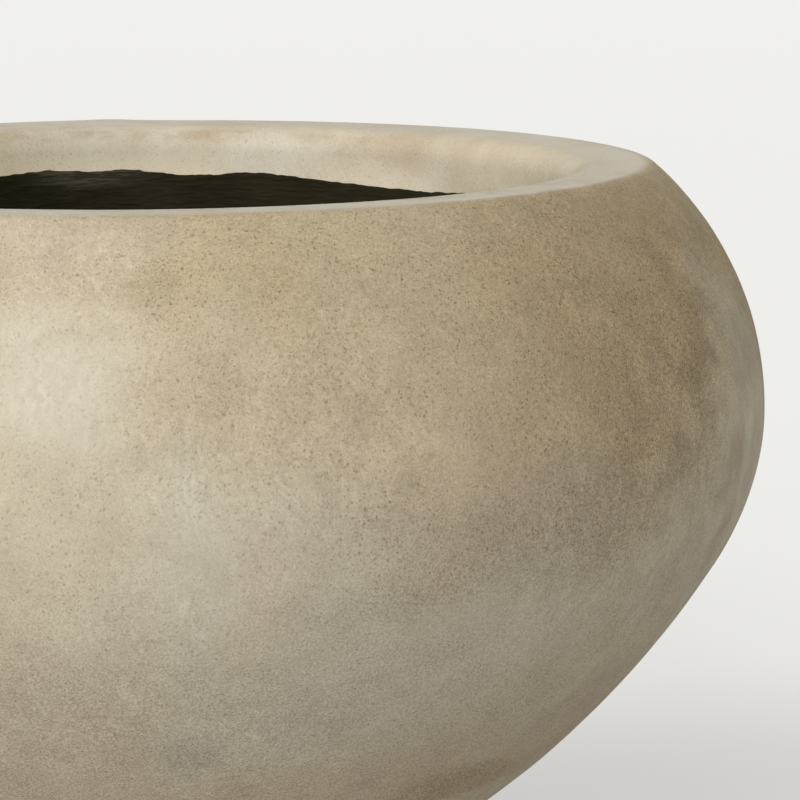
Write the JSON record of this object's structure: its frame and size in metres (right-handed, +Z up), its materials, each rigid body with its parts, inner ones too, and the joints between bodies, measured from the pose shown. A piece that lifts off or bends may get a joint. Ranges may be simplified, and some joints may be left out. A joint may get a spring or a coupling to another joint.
{
  "type": "stone bowl planter",
  "caption": "Round stone bowl planter with a full belly, small flat base, broad lip rolled into the mouth, dark sealed inside, floor drain with a lift-out stopper and rubber pads.",
  "frame": {"origin": "on the floor, under the middle of the pot", "axes": "+Z up along the pot's axis, +X and +Y between the pads"},
  "size_m": [0.56, 0.56, 0.324],
  "materials": {
    "stone": "matt sand-coloured cast stone with fine pores",
    "fibre_cement": "rough grey glass-fibre cement",
    "sealing_coat": "brushed dark sealing coat, dull",
    "drain_plastic": "moulded plastic, satin",
    "stopper_rubber": "moulded rubber, matt",
    "pad_rubber": "cut rubber sheet, matt"
  },
  "bodies": {
    "pot": {"stone_face": "stone", "fibre_backing": "fibre_cement", "inner_coat": "sealing_coat", "drain_sleeve": "drain_plastic", "foot_pad_1": "pad_rubber", "foot_pad_2": "pad_rubber", "foot_pad_3": "pad_rubber", "foot_pad_4": "pad_rubber"},
    "stopper": {"drain_stopper": "stopper_rubber"}
  },
  "joints": [
    {"name": "stopper_lift", "type": "slide", "parent": "pot", "child": "stopper", "axis": [0, 0, 1], "range_m": [0, 0.33]}
  ]
}
